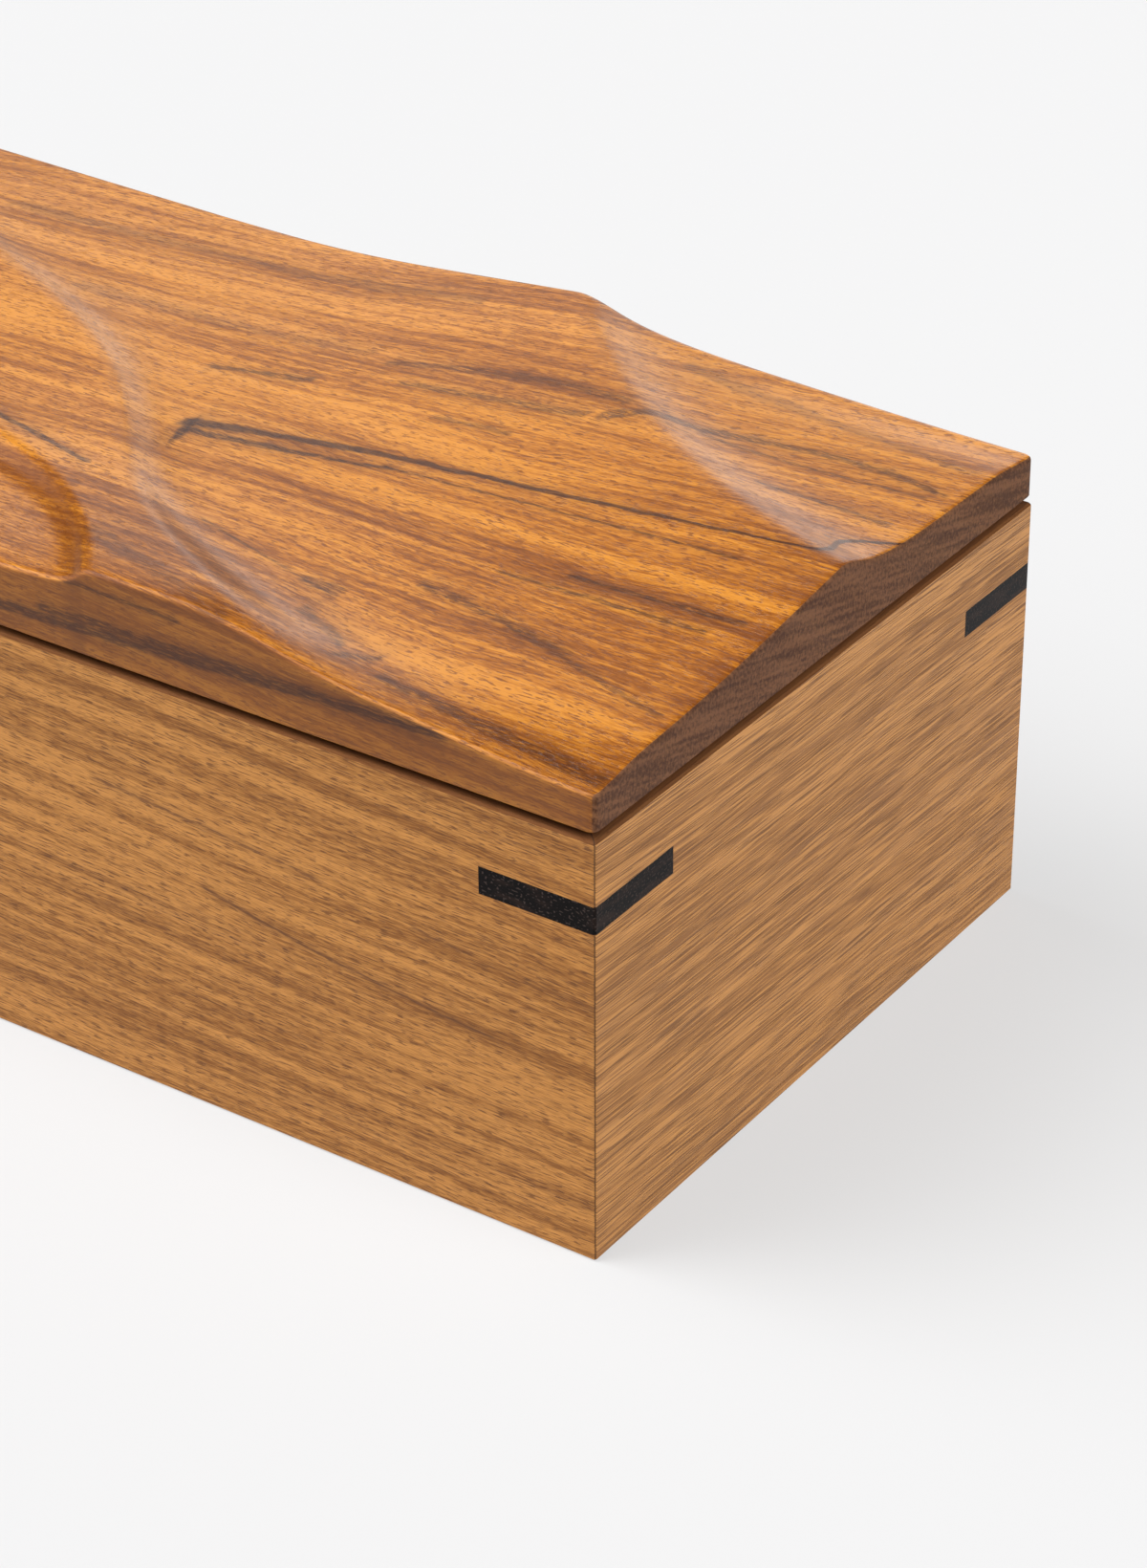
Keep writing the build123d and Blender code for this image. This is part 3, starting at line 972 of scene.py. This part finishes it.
def key_material(finish):
    """Near-black close-grained wood with small pores."""
    material, tree, shader, (x, y, z), _ = new_material("Black key wood", finish)
    dots = noise(tree, (x / (0.5 * MM), y / (0.5 * MM), z / (0.3 * MM)), detail=0.0)
    cloud = noise(tree, (x / (6 * MM), y / (6 * MM), z / (1.5 * MM)), detail=3.0)
    pores = smooth_step(dots, 0.62, 0.7)
    base = mixed(tree, smooth_step(cloud, 0.45, 0.7) * 0.8, finish.body, finish.fleck)
    base = mixed(tree, pores, base, finish.pore)
    set_surface(tree, shader, base, pores * 0.3 + finish.roughness, -pores, 0.04 * MM)
    return material


def screw_material(finish, radius):
    """Turned brass, with rings round each screw's axis."""
    material, tree, shader, (x, y, z), _ = new_material("Turned brass", finish)
    shader.inputs["Metallic"].default_value = 1.0
    low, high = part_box("lid_screws")
    step_x = (high.x - low.x - 2 * radius) / 2
    step_y = high.y - low.y - 2 * radius
    from_x = (x - (low.x + radius)).math("WRAP", step_x / 2, -step_x / 2)
    from_y = (y - (low.y + radius)).math("WRAP", step_y / 2, -step_y / 2)
    from_axis = distance_of(from_x, from_y)
    rings = (from_axis * (2 * math.pi / finish.ring_width)).math("SINE")
    dull = noise(tree, (x / (2 * MM), y / (2 * MM), z / (2 * MM)), detail=4.0, roughness=0.65)
    base = mixed(tree, smooth_step(dull, 0.4, 0.72), finish.bright, finish.tarnish)
    set_surface(tree, shader, base, dull * 0.25 + (finish.roughness - 0.08), rings, 0.004 * MM)
    return material


def floor_material(studio):
    """A pale light table."""
    material, _, shader, _, _ = new_material("Pale floor", studio)
    shader.inputs["Base Color"].default_value = (*studio.floor_colour, 1.0)
    shader.inputs["Emission Color"].default_value = WHITE
    shader.inputs["Emission Strength"].default_value = studio.floor_glow
    return material


# ---- the making


def settings():
    """The user's settings on this scene."""
    return bpy.context.scene.sliding_lid_box


def finish_node(node, material):
    """Gives a solid its material in every slot."""
    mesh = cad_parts[node].data
    mesh.materials.clear()
    mesh.materials.append(material)
    mesh.polygons.foreach_set("material_index", [0] * len(mesh.polygons))


class CarveLid(bpy.types.Operator):
    """Build the lid's carved board and give it its figured wood"""

    bl_idname = "sliding_box.carve_lid"
    bl_label = "Carve lid"

    def execute(self, context):
        chosen = settings()
        values = values_of(chosen.carving, LidCarving.__annotations__) | board_sizes(chosen.board)
        material = lid_material(chosen.lid_finish, chosen.carving)
        lid = grown("carved_lid", lid_tree(values, material))
        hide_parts("lid_board")
        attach(lid, "lid")
        return {"FINISHED"}


class FinishWalls(bpy.types.Operator):
    """Give each wall straight-grained wood of its own"""

    bl_idname = "sliding_box.finish_walls"
    bl_label = "Finish walls"

    def execute(self, context):
        finish = settings().wall_finish
        walls = (("front_side", "X"), ("back_side", "X"), ("closed_end", "Y"), ("open_end", "Y"))
        for number, (node, axis) in enumerate(walls):
            seed = 7.3 * number + 1.1
            # The end walls are paler: partly their own lighter wood, partly painted light.
            paler = finish.paler_ends_and_painted_light if axis == "Y" else 0.0
            veins = FRONT_VEINS if node == "front_side" else ()
            finish_node(node, wall_material(f"Wall wood {node}", finish, axis, seed, paler, veins=veins))
        return {"FINISHED"}


class FinishInside(bpy.types.Operator):
    """Give the bottom panel and the lid's slider their paler planed wood"""

    bl_idname = "sliding_box.finish_inside"
    bl_label = "Finish bottom and slider"

    def execute(self, context):
        finish = settings().wall_finish
        for number, node in enumerate(("bottom_panel", "lid_slider")):
            seed = 31.0 + 9.0 * number
            name = f"Planed wood {node}"
            finish_node(node, wall_material(name, finish, "X", seed, finish.paler_inside, mitred=False))
        return {"FINISHED"}


class FinishKeys(bpy.types.Operator):
    """Give the corner keys their near-black wood"""

    bl_idname = "sliding_box.finish_keys"
    bl_label = "Finish keys"

    def execute(self, context):
        material = key_material(settings().key_finish)
        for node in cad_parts:
            if node.startswith("corner_key_"):
                finish_node(node, material)
        return {"FINISHED"}


class FinishScrews(bpy.types.Operator):
    """Give the screws under the lid their turned brass"""

    bl_idname = "sliding_box.finish_screws"
    bl_label = "Finish screws"

    def execute(self, context):
        chosen = settings()
        finish_node("lid_screws", screw_material(chosen.screw_finish, chosen.board.head_radius))
        return {"FINISHED"}


class Softbox(typing.NamedTuple):
    """A soft light: the way to it, in degrees round from +X and up from the floor, how many degrees its
    full and its faded part reach from its middle, and its strength.
    """

    turn: float
    rise: float
    full: float
    faded: float
    strength: float


SOFTBOXES = (
    Softbox(205, 42, 8, 30, 5.87),
    Softbox(235, 42, 8, 30, 2.26),
    Softbox(0, 42, 8, 30, 1.93),
    Softbox(340, 42, 8, 30, 5.16),
    Softbox(205, 62, 8, 25, 4.68),
    Softbox(130, 21, 5, 13, 1.45),
    Softbox(112, 8, 8, 15, 1.6),
)


def studio_world(studio):
    """A dark studio with soft lights in it, and a plain pale backdrop where the camera looks at it."""
    world = bpy.data.worlds.new("Studio")
    world.use_nodes = True
    tree = world.node_tree
    x, y, z = parts_of(tree, tree.nodes.new("ShaderNodeTexCoord").outputs["Generated"])
    glow = x * 0.0
    for box in SOFTBOXES:
        turn, rise, full, faded = (math.radians(angle) for angle in box[:4])
        level = math.cos(rise)
        nearness = x * (level * math.cos(turn)) + y * (level * math.sin(turn)) + z * math.sin(rise)
        lit = smooth_step(nearness, math.cos(faded), math.cos(full))
        glow = glow + lit * (box.strength * studio.light)
    seen = Number(tree, tree.nodes.new("ShaderNodeLightPath").outputs["Is Camera Ray"])
    sky = tree.nodes["Background"]
    sky.inputs["Color"].default_value = WHITE
    feed(tree, glow * (1.0 - seen) + seen * studio.backdrop, sky.inputs["Strength"])
    return world


FLOOR_REACH = 4.0
SENSOR_WIDTH = 36.0  # in the millimetres of a lens, not of the scene
CAMERA_PLACE = Vector((0.43507, -0.49594, 0.39663))
CAMERA_RIGHT = Vector((0.8264796, 0.56295165, -0.00411233))
CAMERA_UP = Vector((-0.28740467, 0.42820263, 0.85676197))


class SetStage(bpy.types.Operator):
    """Make the floor, the soft light and the camera"""

    bl_idname = "sliding_box.set_stage"
    bl_label = "Set stage"

    def execute(self, context):
        studio = settings().studio
        scene = context.scene
        floor = bpy.data.objects.new("floor", bpy.data.meshes.new("floor"))
        corners = [(x * FLOOR_REACH, y * FLOOR_REACH, 0) for x, y in ((-1, -1), (1, -1), (1, 1), (-1, 1))]
        floor.data.from_pydata(corners, [], [(0, 1, 2, 3)])
        floor.data.materials.append(floor_material(studio))
        scene.collection.objects.link(floor)

        scene.world = studio_world(studio)
        scene.view_settings.view_transform = "Standard"

        camera = bpy.data.objects.new("camera", bpy.data.cameras.new("camera"))
        camera.data.lens = studio.focal_length
        camera.data.sensor_width = SENSOR_WIDTH
        back = CAMERA_RIGHT.cross(CAMERA_UP)
        turned = Matrix((CAMERA_RIGHT, CAMERA_UP, back)).transposed().to_4x4()
        camera.matrix_world = Matrix.Translation(CAMERA_PLACE) @ turned
        scene.collection.objects.link(camera)
        scene.camera = camera
        return {"FINISHED"}


class BoxPanel(bpy.types.Panel):
    """The box's steps, in the order in which they are run"""

    bl_idname = "VIEW3D_PT_sliding_lid_box"
    bl_label = "Sliding lid box"
    bl_space_type = "VIEW_3D"
    bl_region_type = "UI"
    bl_category = "Box"

    def draw(self, context):
        for step in STEPS:
            self.layout.operator(step.bl_idname)


STEPS = (CarveLid, FinishWalls, FinishInside, FinishKeys, FinishScrews, SetStage)
GROUPS = (LidCarving, LidBoard, LidFinish, WallFinish, KeyFinish, ScrewFinish, Studio, BoxSettings)


def register():
    for group in GROUPS:
        for name, setting in group.__annotations__.items():
            setting.keywords["name"] = in_words(name)
    for kind in (*GROUPS, *STEPS, BoxPanel):
        bpy.utils.register_class(kind)
    bpy.types.Scene.sliding_lid_box = bpy.props.PointerProperty(type=BoxSettings)


def unregister():
    del bpy.types.Scene.sliding_lid_box
    for kind in (BoxPanel, *reversed(STEPS), *reversed(GROUPS)):
        bpy.utils.unregister_class(kind)


def main():
    """Runs every step."""
    register()
    for step in STEPS:
        family, name = step.bl_idname.split(".")
        getattr(getattr(bpy.ops, family), name)()


if __name__ == "__main__":
    main()
